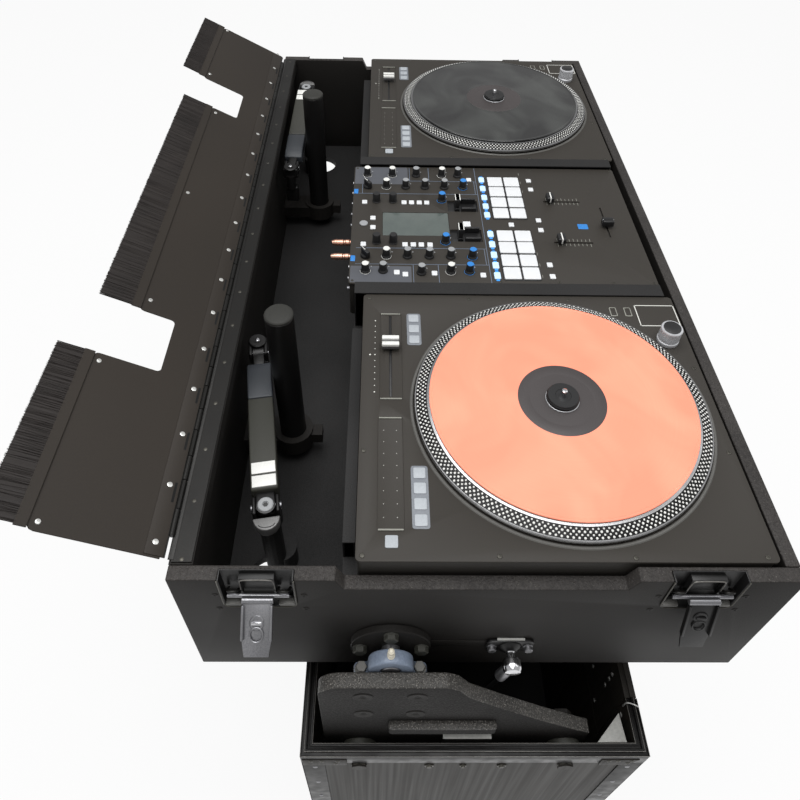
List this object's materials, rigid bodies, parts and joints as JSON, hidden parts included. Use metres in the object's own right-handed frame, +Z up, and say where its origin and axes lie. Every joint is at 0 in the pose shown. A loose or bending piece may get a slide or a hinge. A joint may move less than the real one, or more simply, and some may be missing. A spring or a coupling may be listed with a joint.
{
  "type": "dj console case",
  "caption": "Castored flight-style case with a flip-up DJ console: two record decks, a mixer, a brush-edged rear flap and folded monitor arms.",
  "frame": {"origin": "on the ground, under the middle of the whole object's box, with the rear flap open", "axes": "+X along the console, to the right of the person who plays; +Y to the console's rear, where the flap is; +Z up"},
  "size_m": [1.251, 0.7589, 1.0122],
  "materials": {
    "coated_plywood": "black textured coat",
    "textured_coat": "grey speckled black coat",
    "black_extrusion": "black anodised",
    "flap_sheet": "dark olive satin",
    "latch_steel": "satin chrome",
    "rubber": "matte",
    "bearing_casting": "blue-grey paint",
    "chrome": "polished",
    "bristle": "black nylon",
    "deck_shell": "dark olive grey",
    "platter_metal": "turned",
    "pink_vinyl": "salmon pink vinyl",
    "black_vinyl": "gloss black vinyl",
    "black_plastic": "satin",
    "arm_grey": "satin grey",
    "black_steel": "satin black"
  },
  "bodies": {
    "base": {"base_floor": "coated_plywood", "base_rear_wall": "coated_plywood", "base_end_wall_left": "coated_plywood", "base_end_wall_right": "coated_plywood", "base_front_wall": "coated_plywood", "base_rim": "black_extrusion", "pivot_arm_left": "textured_coat", "pivot_arm_right": "textured_coat", "pillow_bearing_left": "bearing_casting", "pillow_bearing_right": "bearing_casting"},
    "console": {"console_floor": "coated_plywood", "console_front_panel": "coated_plywood", "console_rear_panel": "coated_plywood", "console_end_panel_left": "coated_plywood", "console_end_panel_right": "coated_plywood", "deck_shelf": "coated_plywood", "pivot_hub_left": "textured_coat", "pivot_hub_right": "textured_coat", "flap_hinge_leaf": "black_extrusion", "deck_chassis_left": "deck_shell", "deck_chassis_right": "deck_shell", "mixer_chassis": "deck_shell"},
    "front_door": {"front_door": "coated_plywood"},
    "flap": {"flap_panel": "flap_sheet", "flap_brush_left": "bristle", "flap_brush_middle": "bristle", "flap_brush_right": "bristle"},
    "crossfader": {"crossfader": "black_plastic"},
    "strut_cylinder_left": {"gas_strut_cylinder_left": "black_steel"},
    "strut_rod_left": {"gas_strut_rod_left": "chrome"},
    "latch_lever_left_rear": {"latch_lever_left_rear": "latch_steel"},
    "latch_lever_left_front": {"latch_lever_left_front": "latch_steel"},
    "platter_left": {"platter_left": "platter_metal", "record_left": "pink_vinyl"},
    "pitch_fader_left": {"pitch_fader_left": "platter_metal"},
    "channel_fader_left": {"channel_fader_left": "black_plastic"},
    "deck_knob_left": {"deck_knob_left": "platter_metal"},
    "effect_paddle_left": {"effect_paddle_left": "black_plastic"},
    "pole_left": {"pole_left": "black_steel"},
    "strut_cylinder_right": {"gas_strut_cylinder_right": "black_steel"},
    "strut_rod_right": {"gas_strut_rod_right": "chrome"},
    "latch_lever_right_rear": {"latch_lever_right_rear": "latch_steel"},
    "latch_lever_right_front": {"latch_lever_right_front": "latch_steel"},
    "platter_right": {"platter_right": "platter_metal", "record_right": "black_vinyl"},
    "pitch_fader_right": {"pitch_fader_right": "platter_metal"},
    "channel_fader_right": {"channel_fader_right": "black_plastic"},
    "deck_knob_right": {"deck_knob_right": "platter_metal"},
    "effect_paddle_right": {"effect_paddle_right": "black_plastic"},
    "pole_right": {"pole_right": "black_steel"},
    "shoulder_left": {"arm_shoulder_left": "black_steel"},
    "gas_arm_left": {"gas_arm_left": "arm_grey"},
    "wrist_left": {"arm_wrist_left": "black_steel"},
    "shoulder_right": {"arm_shoulder_right": "black_steel"},
    "gas_arm_right": {"gas_arm_right": "arm_grey"},
    "wrist_right": {"arm_wrist_right": "black_steel"},
    "castor_wheel_1": {"castor_wheel_1": "rubber"},
    "castor_wheel_2": {"castor_wheel_2": "rubber"},
    "castor_wheel_3": {"castor_wheel_3": "rubber"},
    "castor_wheel_4": {"castor_wheel_4": "rubber"}
  },
  "joints": [
    {"name": "console_flip", "type": "hinge", "parent": "base", "child": "console", "pos_m": [0, 0.0145, 0.781], "axis": [1, 0, 0], "range_deg": [0, 90]},
    {"name": "front_door_drop", "type": "hinge", "parent": "base", "child": "front_door", "pos_m": [0, -0.2953, 0.466], "axis": [1, 0, 0], "range_deg": [0, 180]},
    {"name": "flap_close", "type": "hinge", "parent": "console", "child": "flap", "pos_m": [0, 0.2305, 0.9293], "axis": [1, 0, 0], "range_deg": [0, 152]},
    {"name": "strut_tilt_left", "type": "hinge", "parent": "base", "child": "strut_cylinder_left", "pos_m": [-0.573, -0.0155, 0.401], "axis": [1, 0, 0], "range_deg": [-30, 0]},
    {"name": "strut_slide_left", "type": "slide", "parent": "strut_cylinder_left", "child": "strut_rod_left", "axis": [0, -0.2603, 0.9655], "range_m": [-0.14, 0]},
    {"name": "latch_lift_left_rear", "type": "hinge", "parent": "console", "child": "latch_lever_left_rear", "pos_m": [-0.5555, 0.1445, 0.894], "axis": [0, 1, 0], "range_deg": [0, 105]},
    {"name": "latch_lift_left_front", "type": "hinge", "parent": "console", "child": "latch_lever_left_front", "pos_m": [-0.5555, -0.2885, 0.894], "axis": [0, 1, 0], "range_deg": [0, 140]},
    {"name": "platter_spin_left", "type": "hinge", "parent": "console", "child": "platter_left", "pos_m": [-0.3493, -0.1777, 0.93], "axis": [0, 0, 1], "continuous": true},
    {"name": "pitch_slide_left", "type": "slide", "parent": "console", "child": "pitch_fader_left", "axis": [1, 0, 0], "range_m": [-0.048, 0.044]},
    {"name": "channel_slide_left", "type": "slide", "parent": "console", "child": "channel_fader_left", "axis": [0, 1, 0], "range_m": [-0.042, 0.004]},
    {"name": "knob_turn_left", "type": "hinge", "parent": "console", "child": "deck_knob_left", "pos_m": [-0.2447, -0.3315, 0.93], "axis": [0, 0, 1], "continuous": true},
    {"name": "paddle_tip_left", "type": "hinge", "parent": "console", "child": "effect_paddle_left", "pos_m": [-0.036, -0.0875, 0.927], "axis": [1, 0, 0], "range_deg": [-20, 35], "stiffness_Nm_per_rad": 0.4},
    {"name": "pole_raise_left", "type": "slide", "parent": "console", "child": "pole_left", "axis": [0, 0, 1], "range_m": [0, 0.15]},
    {"name": "strut_tilt_right", "type": "hinge", "parent": "base", "child": "strut_cylinder_right", "pos_m": [0.573, -0.0155, 0.401], "axis": [1, 0, 0], "range_deg": [-30, 0]},
    {"name": "strut_slide_right", "type": "slide", "parent": "strut_cylinder_right", "child": "strut_rod_right", "axis": [0, -0.2603, 0.9655], "range_m": [-0.14, 0]},
    {"name": "latch_lift_right_rear", "type": "hinge", "parent": "console", "child": "latch_lever_right_rear", "pos_m": [0.5555, 0.1445, 0.894], "axis": [0, 1, 0], "range_deg": [-105, 0]},
    {"name": "latch_lift_right_front", "type": "hinge", "parent": "console", "child": "latch_lever_right_front", "pos_m": [0.5555, -0.2885, 0.894], "axis": [0, 1, 0], "range_deg": [-140, 0]},
    {"name": "platter_spin_right", "type": "hinge", "parent": "console", "child": "platter_right", "pos_m": [0.3493, -0.1777, 0.93], "axis": [0, 0, 1], "continuous": true},
    {"name": "pitch_slide_right", "type": "slide", "parent": "console", "child": "pitch_fader_right", "axis": [1, 0, 0], "range_m": [-0.048, 0.044]},
    {"name": "channel_slide_right", "type": "slide", "parent": "console", "child": "channel_fader_right", "axis": [0, 1, 0], "range_m": [-0.042, 0.004]},
    {"name": "knob_turn_right", "type": "hinge", "parent": "console", "child": "deck_knob_right", "pos_m": [0.4539, -0.3315, 0.93], "axis": [0, 0, 1], "continuous": true},
    {"name": "paddle_tip_right", "type": "hinge", "parent": "console", "child": "effect_paddle_right", "pos_m": [0.036, -0.0875, 0.927], "axis": [1, 0, 0], "range_deg": [-20, 35], "stiffness_Nm_per_rad": 0.4},
    {"name": "pole_raise_right", "type": "slide", "parent": "console", "child": "pole_right", "axis": [0, 0, 1], "range_m": [0, 0.15]},
    {"name": "shoulder_turn_left", "type": "hinge", "parent": "console", "child": "shoulder_left", "pos_m": [-0.443, 0.1525, 0.87], "axis": [0, 0, 1], "range_deg": [-0.4, 0.2]},
    {"name": "arm_lift_left", "type": "hinge", "parent": "shoulder_left", "child": "gas_arm_left", "pos_m": [-0.443, 0.1525, 0.87], "axis": [-0.1644, 0.9864, 0], "range_deg": [-65, 0]},
    {"name": "wrist_level_left", "type": "hinge", "parent": "gas_arm_left", "child": "wrist_left", "pos_m": [-0.221, 0.1895, 0.872], "axis": [-0.1644, 0.9864, 0], "range_deg": [0, 65]},
    {"name": "shoulder_turn_right", "type": "hinge", "parent": "console", "child": "shoulder_right", "pos_m": [0.443, 0.1785, 0.902], "axis": [0, 0, 1], "range_deg": [-2.4, 0.8]},
    {"name": "arm_lift_right", "type": "hinge", "parent": "shoulder_right", "child": "gas_arm_right", "pos_m": [0.443, 0.1785, 0.902], "axis": [-0.034, -0.9994, 0], "range_deg": [-65, 0]},
    {"name": "wrist_level_right", "type": "hinge", "parent": "gas_arm_right", "child": "wrist_right", "pos_m": [0.208, 0.1865, 0.88], "axis": [-0.034, -0.9994, 0], "range_deg": [0, 65]},
    {"name": "crossfader_slide", "type": "slide", "parent": "console", "child": "crossfader", "axis": [1, 0, 0], "range_m": [-0.018, 0.038]},
    {"name": "castor_roll_1", "type": "hinge", "parent": "base", "child": "castor_wheel_1", "pos_m": [-0.52, -0.2155, 0.0625], "axis": [0, 1, 0], "continuous": true},
    {"name": "castor_roll_2", "type": "hinge", "parent": "base", "child": "castor_wheel_2", "pos_m": [-0.52, 0.0405, 0.0625], "axis": [0, 1, 0], "continuous": true},
    {"name": "castor_roll_3", "type": "hinge", "parent": "base", "child": "castor_wheel_3", "pos_m": [0.52, -0.2155, 0.0625], "axis": [0, 1, 0], "continuous": true},
    {"name": "castor_roll_4", "type": "hinge", "parent": "base", "child": "castor_wheel_4", "pos_m": [0.52, 0.0405, 0.0625], "axis": [0, 1, 0], "continuous": true}
  ],
  "couplings": [
    {"joint": "front_door_drop", "follows": "console_flip", "ratio": 2},
    {"joint": "strut_tilt_left", "follows": "console_flip", "ratio": -0.26613},
    {"joint": "strut_slide_left", "follows": "console_flip", "m_per_rad": -0.083535},
    {"joint": "strut_tilt_right", "follows": "console_flip", "ratio": -0.26613},
    {"joint": "strut_slide_right", "follows": "console_flip", "m_per_rad": -0.083535},
    {"joint": "wrist_level_left", "follows": "arm_lift_left", "ratio": -1},
    {"joint": "wrist_level_right", "follows": "arm_lift_right", "ratio": -1}
  ]
}
